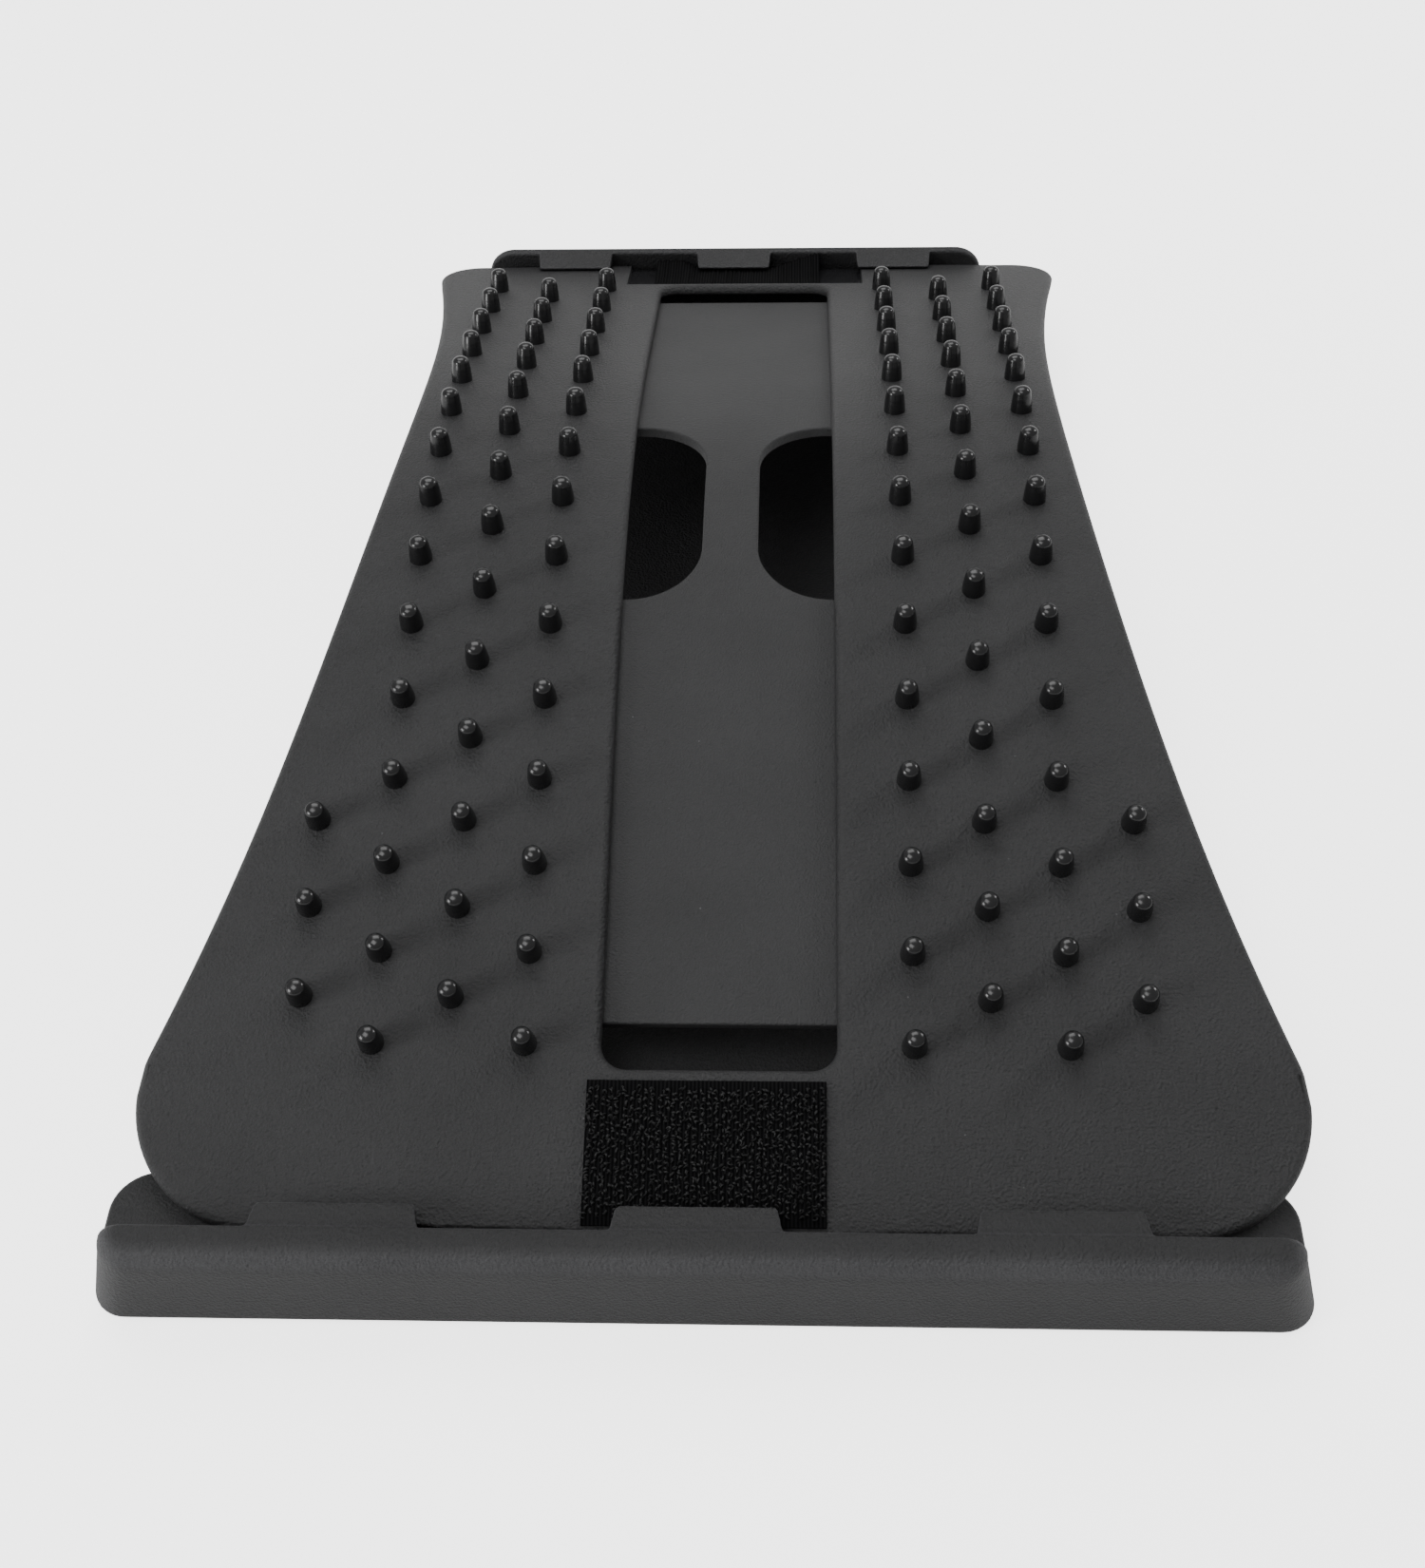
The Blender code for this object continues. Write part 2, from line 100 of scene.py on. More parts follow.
COLUMN_PITCH = 16.25 * MM
SIDE_ROWS = (1, 3, 5)
NUB_RADIUS = 2.75 * MM
NUB_HEIGHT = 6.6 * MM
NUB_SHOULDER = (4.9 * MM, 2.25 * MM)  # height and radius where the dome starts
PLATE_TOP = -3.1 * MM
PLATE_THICK = 2.5 * MM
PLATE_HALF = 33 * MM
PLATE_NEAR = -136.5 * MM
PLATE_FAR = 142.8 * MM
HOLE_NEAR = -29 * MM
HOLE_FAR = 39.6 * MM
HOLE_INNER = 6.7 * MM
HOLE_OUTER = 25.6 * MM
HOLE_CORNER = 17.5 * MM
STUD_X = 29.3 * MM
STUD_S = (-125 * MM, -60 * MM, 62 * MM, 125 * MM)
PATCH_X = -2.4 * MM
PATCH_HALF = 25 * MM
NEAR_PATCH = (-180.6 * MM, -150 * MM)
FAR_PATCH = (152.6 * MM, 172.4 * MM)
SELVAGE = 1.4 * MM
BASE_X = -0.6 * MM
BASE_BOTTOM = 1 * MM
NEAR_FACE = -178.65 * MM
NEAR_WALL = -169.95 * MM
FAR_WALL = 176.15 * MM
FAR_FACE = 178.65 * MM
RAIL_HALF = 125.9 * MM
RAIL_TOP = 24 * MM
RAIL_DRAFT = 0.3 * MM
END_DRAFT = 4.4 * MM
RAIL_ROLL = 5.2 * MM
FAR_RAIL_HALF = 76.4 * MM
FAR_RAIL_TOP = 24.6 * MM
FAR_RAIL_CORNER = 8 * MM
DECK_HALF = 122.9 * MM
DECK_TOP = 14 * MM
DECK_END = -151 * MM
TRAY_HALF = 104 * MM
TRAY_END = -104 * MM
SPINE_HALF = 38 * MM
SPINE_TOP = 9 * MM
FAR_TRAY_HALF = 72 * MM
FAR_TRAY_START = 130 * MM
FAR_DECK_TOP = 15.8 * MM
NEAR_TABS = (73.4 * MM, 34.6 * MM)  # pitch and width
FAR_TABS = (49.1 * MM, 22.9 * MM)
NEAR_TAB_LOW = 21 * MM
NEAR_TAB_TOP = 23.4 * MM
NEAR_TAB_TIP = -164.0 * MM
FAR_TAB_TIP = 170.2 * MM
FAR_TAB_EDGE = 0.8 * MM  # thickness at the tip
GROOVE_Y = (-144 * MM, -126 * MM)
GROOVE_TOP = 20.2 * MM
GROOVE_INNER = 30 * MM
GROOVE_OUTER = 100 * MM

# Where the CAD has the crown of the board
near_low, near_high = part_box("arch_board_near")
CROWN_X = 0.5 * (near_low.x + near_high.x)
CROWN = Vector((CROWN_X, near_high.y - FLEX_S + 0.15 * MM, near_high.z - NUB_HEIGHT))


# Mesh helpers


def link(name, mesh, material=None, round_angle=40):
    item = bpy.data.objects.new(name, mesh)
    bpy.context.scene.collection.objects.link(item)
    if material:
        mesh.materials.append(material)
    mesh.shade_smooth()
    mesh.set_sharp_from_angle(angle=math.radians(round_angle))
    return item


def mesh_from(name, work):
    bmesh.ops.recalc_face_normals(work, faces=work.faces[:])
    mesh = bpy.data.meshes.new(name)
    work.to_mesh(mesh)
    work.free()
    return mesh


def applied(item):
    """The item's mesh with its modifiers applied."""
    bpy.context.view_layer.update()
    graph = bpy.context.evaluated_depsgraph_get()
    mesh = bpy.data.meshes.new_from_object(item.evaluated_get(graph))
    item.modifiers.clear()
    item.data = mesh
    return item


def remove(item):
    bpy.data.objects.remove(item, do_unlink=True)


# The arch


def arch_curve():
    s = np.linspace(-0.25, 0.25, 4001)
    slope = -END_SLOPE * np.sin(0.5 * np.pi * np.clip(s / BEND_REACH, -1, 1))
    step = s[1] - s[0]
    y = np.cumsum(np.cos(slope)) * step
    z = np.cumsum(np.sin(slope)) * step
    return s, y - np.interp(0, s, y), z - np.interp(0, s, z), slope


ARCH = arch_curve()


def arch_slope(s):
    return float(np.interp(s, ARCH[0], ARCH[3]))


def on_arch(s, x, h):
    slope = arch_slope(s)
    y = float(np.interp(s, ARCH[0], ARCH[1])) - math.sin(slope) * h
    z = float(np.interp(s, ARCH[0], ARCH[2])) + math.cos(slope) * h
    return CROWN + Vector((x, y, z))


def flare(s):
    return WAIST_HALF + FLARE * (s - WAIST_S) ** 2


def corner_centre(end, radius):
    inward = 1 if end < 0 else -1
    centre = end + inward * radius
    start = centre
    for _ in range(20):
        tilt = math.atan(abs(2 * FLARE * (start - WAIST_S)))
        start = centre + inward * radius * math.sin(tilt)
    return centre, flare(start) - radius * math.cos(tilt), start


CORNERS = {
    end: (radius, *corner_centre(end, radius))
    for end, radius in ((NEAR_END, NEAR_CORNER), (FAR_END, FAR_CORNER))
}


def board_half_width(s):
    for end, (radius, centre, side, start) in CORNERS.items():
        if (end < 0 and s < start) or (end > 0 and s > start):
            return side + math.sqrt(max(radius**2 - (s - centre) ** 2, 0))
    return flare(s)


def inset_half(s, start, stop, half, radius):
    depth = min(max(min(s - start, stop - s), 0), radius)
    return half - radius + math.sqrt(radius**2 - (radius - depth) ** 2)


def arc_rows(end, radius, inward, count):
    turns = (0.5 * math.pi * i / count for i in range(count + 1))
    return [end + inward * radius * (1 - math.cos(turn)) for turn in turns]


def spread(start, stop, pitch):
    count = max(1, round((stop - start) / pitch))
    return [start + (stop - start) * i / count for i in range(count + 1)]


def tidy_rows(rows, least=0.05 * MM):
    kept = []
    for s in sorted(rows):
        if not kept or s - kept[-1] > least:
            kept.append(s)
    return kept


def sheet(rows, columns, keep, top, bottom, rim):
    """A closed sheet on the arch from a grid of cells. rim(s, x) gives the bevel of the upper edge."""
    work = bmesh.new()
    weight = work.edges.layers.float.new("bevel_weight_edge")
    grid = [columns(s) for s in rows]
    cells = {
        (i, j)
        for i in range(len(rows) - 1)
        for j in range(len(grid[0]) - 1)
        if keep(0.5 * (rows[i] + rows[i + 1]), j)
    }
    points = {}
    edges = []

    def point(i, j, upper):
        if (i, j, upper) not in points:
            s, x = rows[i], grid[i][j]
            h = top(s, x) if upper else bottom
            points[i, j, upper] = work.verts.new(on_arch(s, x, h))
        return points[i, j, upper]

    for i, j in cells:
        corners = ((i, j), (i, j + 1), (i + 1, j + 1), (i + 1, j))
        work.faces.new([point(a, b, True) for a, b in corners])
        work.faces.new([point(a, b, False) for a, b in reversed(corners)])
        beyond = ((i - 1, j), (i, j + 1), (i + 1, j), (i, j - 1))
        for side, neighbour in enumerate(beyond):
            if neighbour not in cells:
                a, b = corners[side], corners[(side + 1) % 4]
                ring = [point(*b, True), point(*a, True), point(*a, False), point(*b, False)]
                work.faces.new(ring)
                s = 0.5 * (rows[a[0]] + rows[b[0]])
                x = 0.5 * (grid[a[0]][a[1]] + grid[b[0]][b[1]])
                edges.append((ring[0], ring[1], rim(s, x)))
                edges.append((ring[2], ring[3], 0.35))
    for a, b, share in edges:
        work.edges.get((a, b))[weight] = share
    return work


def rounded(name, work, width, segments, material):
    """An object from the bmesh with its weighted edges rounded."""
    item = link(name, mesh_from(name, work), material)
    bevel = item.modifiers.new("round", "BEVEL")
    bevel.limit_method = "WEIGHT"
    bevel.width = width
    bevel.segments = segments
    bevel.use_clamp_overlap = False
    bevel.loop_slide = False
    return applied(item)


def turned(work, s, x, profile, sides):
    """A turned shape on the arch's normal, closed at both ends."""
    place = Matrix.Translation(on_arch(s, x, 0)) @ Matrix.Rotation(arch_slope(s), 4, "X")
    rings = []
    for radius, height in profile:
        turns = (2 * math.pi * i / sides for i in range(sides))
        ring = [Vector((radius * math.cos(t), radius * math.sin(t), height)) for t in turns]
        rings.append([work.verts.new(place @ p) for p in ring])
    work.faces.new(list(reversed(rings[0])))
    work.faces.new(rings[-1])
    for low, high in zip(rings, rings[1:]):
        for i in range(sides):
            k = (i + 1) % sides
            work.faces.new([low[i], low[k], high[k], high[i]])


# Materials


class Nodes:
    """Short names for building a node material."""

    def __init__(self, name, colour, roughness, specular=0.5):
        self.material = bpy.data.materials.new(name)
        self.material.use_nodes = True
        self.tree = self.material.node_tree
        self.shader = self.tree.nodes["Principled BSDF"]
        self.shader.inputs["Base Color"].default_value = (*colour, 1)
        self.shader.inputs["Roughness"].default_value = roughness
        self.shader.inputs["Specular IOR Level"].default_value = specular
        self.place = self.add("ShaderNodeTexCoord").outputs["Object"]

    def add(self, kind, **values):
        node = self.tree.nodes.new(kind)
        for key, value in values.items():
            if key in node.inputs:
                node.inputs[key].default_value = value
            else:
                setattr(node, key, value)
        return node

    def join(self, source, target):
        self.tree.links.new(source, target)

    def noise(self, scale, detail=3, rough=0.55, place=None):
        node = self.add("ShaderNodeTexNoise", Scale=scale, Detail=detail, Roughness=rough)
        self.join(place or self.place, node.inputs["Vector"])
        return node.outputs["Fac"]

    def cells(self, scale, feature="F1", place=None):
        node = self.add("ShaderNodeTexVoronoi", feature=feature, Scale=scale)
        self.join(place or self.place, node.inputs["Vector"])
        return node.outputs["Distance"]

    def math(self, operation, a, b):
        node = self.add("ShaderNodeMath", operation=operation)
        for socket, value in zip(node.inputs, (a, b)):
            if isinstance(value, (int, float)):
                socket.default_value = value
            else:
                self.join(value, socket)
        return node.outputs[0]

    def span(self, value, low, high, to_low, to_high):
        node = self.add("ShaderNodeMapRange")
        for key, number in (("From Min", low), ("From Max", high), ("To Min", to_low), ("To Max", to_high)):
            node.inputs[key].default_value = number
        self.join(value, node.inputs["Value"])
        return node.outputs[0]

    def bump(self, height, distance, strength=1.0):
        node = self.add("ShaderNodeBump", Distance=distance, Strength=strength)
        self.join(height, node.inputs["Height"])
        self.join(node.outputs["Normal"], self.shader.inputs["Normal"])

    def colour_from(self, value, dark, light, brighten=None):
        """Base colour between two tones, lifted by a second value where it is above zero."""
        ramp = self.add("ShaderNodeValToRGB")
        ramp.color_ramp.elements[0].color = (*dark, 1)
        ramp.color_ramp.elements[1].color = (*light, 1)
        self.join(value, ramp.inputs["Fac"])
        colour = ramp.outputs["Color"]
        if brighten:
            lift = self.add("ShaderNodeVectorMath", operation="SCALE")
            self.join(colour, lift.inputs[0])
            self.join(self.math("ADD", brighten, 1.0), lift.inputs["Scale"])
            colour = lift.outputs[0]
        self.join(colour, self.shader.inputs["Base Color"])

    def roughness_from(self, value):
        self.join(value, self.shader.inputs["Roughness"])


def grained_plastic(name, dark, light, grain, depth, rough, edge_highlight=0.0):
    """Moulded black plastic with a leather or sand grain, and a few specks of dust.

    Rounded edges that face half upwards can be painted paler: a painted highlight where the lamps catch
    them.
    """
    nodes = Nodes(name, light, rough[0])
    pebbles = nodes.cells(1 / grain, "SMOOTH_F1")
    fine = nodes.noise(2.2 / grain, 4, 0.6)
    broad = nodes.noise(28, 2)
    height = nodes.math("ADD", nodes.math("MULTIPLY", pebbles, 0.7), nodes.math("MULTIPLY", fine, 0.6))
    nodes.bump(height, depth)
    tone = nodes.math("ADD", nodes.math("MULTIPLY", broad, 0.25), nodes.math("MULTIPLY", fine, 0.75))
    lift = nodes.span(nodes.cells(1 / (9 * MM)), 0.018, 0.024, 4, 0)
    # Paler base colour on faces whose normal points half upwards: a painted highlight on rounded edges.
    if edge_highlight:
        normal = nodes.add("ShaderNodeSeparateXYZ")
        nodes.join(nodes.add("ShaderNodeNewGeometry").outputs["Normal"], normal.inputs["Vector"])
        upward = normal.outputs["Z"]
        rising = nodes.span(upward, 0.05, 0.45, 0, 1)
        falling = nodes.span(upward, 0.8, 0.99, edge_highlight, 0)
        lift = nodes.math("ADD", lift, nodes.math("MULTIPLY", rising, falling))
    nodes.colour_from(nodes.span(tone, 0.36, 0.64, 0, 1), dark, light, lift)
    nodes.roughness_from(nodes.span(fine, 0.3, 0.7, rough[0], rough[1]))
    return nodes.material


def nub_plastic():
    nodes = Nodes("polished_nub_plastic", (0.0095, 0.0095, 0.01), 0.14)
    scuff = nodes.noise(700, 2)
    nodes.bump(scuff, 0.01 * MM, 0.4)
    nodes.roughness_from(nodes.span(scuff, 0.35, 0.7, 0.17, 0.27))
    return nodes.material


def tape_cloth():
    nodes = Nodes("hook_tape_cloth", (0.004, 0.004, 0.0045), 1.0, 0.03)
    nodes.shader.inputs["Sheen Weight"].default_value = 0.008
    threads = nodes.add("ShaderNodeTexWave", Scale=1 / (0.42 * MM) / 6.283, bands_direction="X")
    nodes.join(nodes.place, threads.inputs["Vector"])
    fuzz = nodes.noise(2600, 4)
    height = nodes.math("ADD", threads.outputs["Fac"], nodes.math("MULTIPLY", fuzz, 0.6))
    nodes.bump(height, 0.12 * MM)
    nodes.colour_from(nodes.span(height, 0.2, 1.4, 0, 1), (0.002, 0.002, 0.0022), (0.009, 0.009, 0.0095))
    return nodes.material


def loop_yarn():
    nodes = Nodes("loop_yarn", (0.006, 0.006, 0.0065), 0.5, 0.3)
    nodes.shader.inputs["Sheen Weight"].default_value = 0.03
    tint = nodes.noise(700, 2)
    nodes.colour_from(nodes.span(tint, 0.3, 0.7, 0, 1), (0.003, 0.003, 0.0033), (0.012, 0.012, 0.0125))
    return nodes.material


def foot_rubber():
    nodes = Nodes("foot_rubber", (0.018, 0.018, 0.018), 0.85)
    nodes.bump(nodes.noise(1800, 3), 0.05 * MM)
    return nodes.material


BLACK = (0.007, 0.007, 0.0076)
CHARCOAL = (0.025, 0.025, 0.0262)
PLATE_TONES = ((0.010, 0.010, 0.0107), (0.030, 0.030, 0.0312))
BED_TONES = ((0.010, 0.010, 0.011), (0.012, 0.012, 0.013))
BOARD_PLASTIC = grained_plastic("board_leather_grain", BLACK, CHARCOAL, 0.6 * MM, 0.5 * MM, (0.44, 0.58))
PLATE_PLASTIC = grained_plastic("plate_sand_grain", *PLATE_TONES, 0.45 * MM, 0.34 * MM, (0.52, 0.68))
BASE_TONES = ((0.005, 0.005, 0.0055), (0.017, 0.017, 0.018))
# The base's rounded edges that face half upwards get a painted highlight of strength 2.2.
BASE_PLASTIC = grained_plastic("base_leather_grain", *BASE_TONES, 0.6 * MM, 0.42 * MM, (0.48, 0.62), 2.2)
BED_PLASTIC = grained_plastic("bed_smooth", *BED_TONES, 0.6 * MM, 0.004 * MM, (0.12, 0.17))
NUB_PLASTIC = nub_plastic()
TAPE_CLOTH = tape_cloth()
LOOP_YARN = loop_yarn()
FOOT_RUBBER = foot_rubber()


# Board, nubs, plate and studs


def bends(piece, slot, *nodes):
    """The piece's transform is baked, and it stands for these CAD nodes, which are hidden."""
    reach = 55 * MM
    start, end = on_arch(FLEX_S + reach, 0, 0), on_arch(FLEX_S - reach, 0, 0)
    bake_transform(piece)
    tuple(start)
    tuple(end)
    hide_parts(*nodes)


def make_board():
    rows = arc_rows(NEAR_END, NEAR_CORNER, 1, 24) + arc_rows(FAR_END, FAR_CORNER, -1, 16)
    rows += arc_rows(SLOT_NEAR, SLOT_CORNER, 1, 10) + arc_rows(SLOT_FAR, SLOT_CORNER, -1, 10)
    rows += spread(SLOT_NEAR + SLOT_CORNER, SLOT_FAR - SLOT_CORNER, 4 * MM)
    rows += [RECESS_S + RECESS_RAMP * i / 8 for i in range(9)] + [RECESS_S + 0.12 * MM]
    wall = 0.12 * MM

    def columns(s):
        half = board_half_width(s)
        slot = inset_half(s, SLOT_NEAR, SLOT_FAR, SLOT_HALF, SLOT_CORNER)
        right = [slot, RECESS_HALF - wall, RECESS_HALF + wall, half]
        return [-x for x in reversed(right)] + right

    def top(s, x):
        if s <= RECESS_S or abs(x) > RECESS_HALF:
            return 0.0
        level = max(1 - (s - RECESS_S) / RECESS_RAMP, 0)
        return RECESS_DEEP * (level**2 - 1)

    def keep(s, column):
        return column != 3 or not SLOT_NEAR < s < SLOT_FAR

    def rim(s, x):
        at_slot = abs(x) < SLOT_HALF + MM and SLOT_NEAR - MM < s < SLOT_FAR + MM
        at_tips = abs(x) < RECESS_HALF and not at_slot
        return 0.35 if at_tips else 0.85 if at_slot else 1.0

    work = sheet(tidy_rows(rows), columns, keep, top, -BOARD_THICK, rim)
    board = rounded("acupressure_board", work, 2 * MM, 5, BOARD_PLASTIC)
    board.data.materials.append(BED_PLASTIC)
    bed = on_arch(RECESS_S, 0, 0)
    for face in board.data.polygons:
        middle = face.center
        inside = abs(middle.x - CROWN.x) < RECESS_HALF and middle.y > bed.y and face.normal.z > 0.3
        if inside and middle.z < bed.z - (middle.y - bed.y) * math.tan(END_SLOPE) - 0.03 * MM:
            face.material_index = 1
    bends(board, "board_plastic", "arch_board_near", "arch_board_far")


def nub_places():
    for row in range(LAST_ROW + 1):
        s = (row - CROWN_ROW) * ROW_PITCH + ROW_SHIFT
        columns = [0, 2] if row % 2 == 0 else [1]
        if row in SIDE_ROWS:
            columns.append(3)
        for column in columns:
            x = COLUMN_X + column * COLUMN_PITCH
            yield s, x
            yield s, -x


def nub_profile():
    """An egg-shaped nub with faint turning marks low on its side and a flattened dome."""
    shoulder, shoulder_radius = NUB_SHOULDER
    profile = [(NUB_RADIUS, -0.3 * MM), (NUB_RADIUS, 0)]
    for i in range(1, 13):
        share = i / 12
        mark = 0.035 * MM * (i % 2) if i < 8 else 0
        radius = NUB_RADIUS + (shoulder_radius - NUB_RADIUS) * share**1.9
        profile.append((radius - mark, shoulder * share))
    dome = NUB_HEIGHT - shoulder
    for i in range(1, 9):
        turn = 0.5 * math.pi * i / 9
        reach = shoulder_radius * math.cos(turn) ** 0.9
        profile.append((reach, shoulder + dome * math.sin(turn)))
    profile.append((0.1 * MM, NUB_HEIGHT))
    return profile


def make_nubs():
    work = bmesh.new()
    profile = nub_profile()
    for s, x in nub_places():
        turned(work, s, x, profile, 28)
    nubs = link("massage_nubs", mesh_from("massage_nubs", work), NUB_PLASTIC, 60)
    bends(nubs, "board_plastic", "arch_board_near", "arch_board_far")


def make_studs():
    work = bmesh.new()
    head = PLATE_TOP - PLATE_THICK - 0.3 * MM
    profile = [(0.2 * MM, head - 1.1 * MM), (1.7 * MM, head - 0.95 * MM), (2.3 * MM, head - 0.5 * MM)]
    profile += [(2.4 * MM, head), (1.4 * MM, head + 0.02 * MM), (1.4 * MM, -BOARD_THICK + 0.2 * MM)]
    for s in STUD_S:
        turned(work, s, STUD_X, profile, 24)
        turned(work, s, -STUD_X, profile, 24)
    studs = link("plate_studs", mesh_from("plate_studs", work), BOARD_PLASTIC)
    bends(studs, "board_plastic", "arch_board_near", "arch_board_far")


def make_plate():
    rows = arc_rows(HOLE_NEAR, HOLE_CORNER, 1, 18) + arc_rows(HOLE_FAR, HOLE_CORNER, -1, 18)
    rows += spread(PLATE_NEAR, HOLE_NEAR, 4 * MM) + spread(HOLE_FAR, PLATE_FAR, 4 * MM)
    rows += spread(HOLE_NEAR + HOLE_CORNER, HOLE_FAR - HOLE_CORNER, 4 * MM)

    def columns(s):
        reach = inset_half(s, HOLE_NEAR, HOLE_FAR, HOLE_OUTER - HOLE_INNER, HOLE_CORNER)
        right = [HOLE_OUTER - reach, HOLE_OUTER, PLATE_HALF]
        return [-x for x in reversed(right)] + right

    def keep(s, column):
        return column not in (1, 3) or not HOLE_NEAR < s < HOLE_FAR

    bottom = PLATE_TOP - PLATE_THICK
    work = sheet(tidy_rows(rows), columns, keep, lambda s, x: PLATE_TOP, bottom, lambda s, x: 1.0)
    plate = rounded("centre_plate", work, 0.45 * MM, 3, PLATE_PLASTIC)
    bends(plate, "plate_plastic", "centre_plate_near", "centre_plate_far")


# Hook-and-loop patches


def patch_sheet(name, span, bottom, top, lift, pitch, ridge):
    """A ribbed cloth strip. Its ribs run along the board; lift(s, x) raises it off the board."""
    rows = tidy_rows(spread(*span, 0.7 * MM) + [span[0] + SELVAGE, span[1] - SELVAGE])
    columns = spread(PATCH_X - PATCH_HALF, PATCH_X + PATCH_HALF, pitch / 2)
    chance = random.Random(11)
    heights = [ridge * chance.uniform(0.3, 1.0) if j % 2 else 0 for j in range(len(columns))]
    work = bmesh.new()
    upper, lower = [], []
    for s in rows:
        edge = min(s - span[0], span[1] - s)
        flat = 0.75 if edge < SELVAGE - 0.01 * MM else 1.0
        upper.append([])
        lower.append([])
        for x, height in zip(columns, heights):
            raised = lift(s, x)
            thick = (top - bottom) * flat + height
            upper[-1].append(work.verts.new(on_arch(s, x, bottom + thick + raised)))
            lower[-1].append(work.verts.new(on_arch(s, x, bottom + raised)))
    last_row, last_column = len(rows) - 1, len(columns) - 1
    for i in range(last_row):
        for j in range(last_column):
            work.faces.new([upper[i][j], upper[i][j + 1], upper[i + 1][j + 1], upper[i + 1][j]])
            work.faces.new([lower[i][j], lower[i + 1][j], lower[i + 1][j + 1], lower[i][j + 1]])
    for i in range(last_row):
        for j in (0, last_column):
            work.faces.new([upper[i][j], lower[i][j], lower[i + 1][j], upper[i + 1][j]])
    for j in range(last_column):
        for i in (0, last_row):
            work.faces.new([upper[i][j], upper[i][j + 1], lower[i][j + 1], lower[i][j]])
    return link(name, mesh_from(name, work), TAPE_CLOTH, 70)


def loop_pile(name, span, base, lift, tufts, seed, tall):
    """Small arched loops of yarn in staggered columns, thrown about a little."""
    chance = random.Random(seed)
    points = []
    faces = []
    rings, sides, tube = 6, 5, 0.19 * MM
    across, along = tufts
    for j in range(across):
        for i in range(along):
            for _ in range(2):
                x = PATCH_X - PATCH_HALF + 2 * PATCH_HALF * (j + 0.5 + chance.gauss(0, 0.2)) / across
                room = span[1] - span[0] - 2 * SELVAGE
                step = i + 0.5 + 0.5 * (j % 2) + chance.gauss(0, 0.2)
                s = span[0] + SELVAGE + room * step / (along + 0.5)
                heading = chance.uniform(0, math.pi)
                lean = chance.gauss(0, 0.45)
                radius = chance.uniform(0.3, 0.5) * MM
                foot = base + lift(s, x)
                first = len(points)
                for k in range(rings + 1):
                    turn = math.pi * k / rings
                    out, rise = radius * math.cos(turn), tall * radius * math.sin(turn)
                    for m in range(sides):
                        spin = 2 * math.pi * m / sides
                        push = out + tube * math.cos(spin) * math.cos(turn)
                        side = tube * math.sin(spin) + lean * rise
                        height = rise + tube * math.cos(spin) * math.sin(turn)
                        ds = push * math.sin(heading) + side * math.cos(heading)
                        dx = push * math.cos(heading) - side * math.sin(heading)
                        points.append(on_arch(s + ds, x + dx, foot + height))
                for k in range(rings):
                    for m in range(sides):
                        a = first + k * sides + m
                        b = first + k * sides + (m + 1) % sides
                        faces.append((a, b, b + sides, a + sides))
                faces.append(tuple(first + m for m in reversed(range(sides))))
                faces.append(tuple(first + rings * sides + m for m in range(sides)))
    mesh = bpy.data.meshes.new(name)
    mesh.from_pydata(points, [], faces)
    return link(name, mesh, LOOP_YARN, 70)


def far_lift(s, x):
    """The far patch's free corners curl up on both sides of the middle hook."""
    along = min(max((s - 158 * MM) / (14 * MM), 0), 1)
    right = min(max((x - 8.5 * MM) / (13.5 * MM), 0), 1)
    left = min(max((-x - 15.5 * MM) / (4 * MM), 0), 1)
    return along**1.5 * (4.3 * MM * right + 2.2 * MM * left)


def make_patches():
    flat = 0.02 * MM
    near = patch_sheet("near_patch_cloth", NEAR_PATCH, flat, 0.7 * MM, lambda s, x: 0, 0.5 * MM, 0.08 * MM)
    near_loops = loop_pile("near_patch_loops", NEAR_PATCH, 0.6 * MM, lambda s, x: 0, (34, 19), 5, 1.5)
    for piece in (near, near_loops):
        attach(piece, "arch_near")
        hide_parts("hook_patch_near")
    bed = 0.02 * MM - RECESS_DEEP
    far = patch_sheet("far_patch_cloth", FAR_PATCH, bed, bed + 0.6 * MM, far_lift, 1.3 * MM, 0.7 * MM)
    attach(far, "arch_far")
    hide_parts("hook_patch_far")


# Base tray


def outline_points(half, low, high, low_corner, high_corner, inset=0, steps=10):
    """A round-cornered rectangle as (x, y) points, centred on the base."""
    points = []
    for quarter, (side, end) in enumerate(((1, 1), (-1, 1), (-1, -1), (1, -1))):
        radius = max((high_corner if end > 0 else low_corner) - inset, 0.15 * MM)
        x = side * (half - inset - radius)
        y = high - inset - radius if end > 0 else low + inset + radius
        for i in range(steps + 1):
            turn = 0.5 * math.pi * (quarter + i / steps)
            points.append((BASE_X + x + radius * math.cos(turn), y + radius * math.sin(turn)))
    return points


def loft(work, rings):
    """A closed solid through rings of points."""
    loops = [[work.verts.new(p) for p in ring] for ring in rings]
    work.faces.new(list(reversed(loops[0])))
    work.faces.new(loops[-1])
    for low, high in zip(loops, loops[1:]):
        for i in range(len(low)):
            k = (i + 1) % len(low)
            work.faces.new([low[i], low[k], high[k], high[i]])


def slab(work, half, low, high, corners, bottom, top, roll):
    """A flat block with rounded corners and a rolled upper edge."""
    rings = [[(x, y, bottom) for x, y in outline_points(half, low, high, *corners)]]
    for i in range(5):
        turn = 0.5 * math.pi * i / 4
        z = top - roll * (1 - math.sin(turn))
        outline = outline_points(half, low, high, *corners, inset=roll * (1 - math.cos(turn)))
        rings.append([(x, y, z) for x, y in outline])
    loft(work, rings)


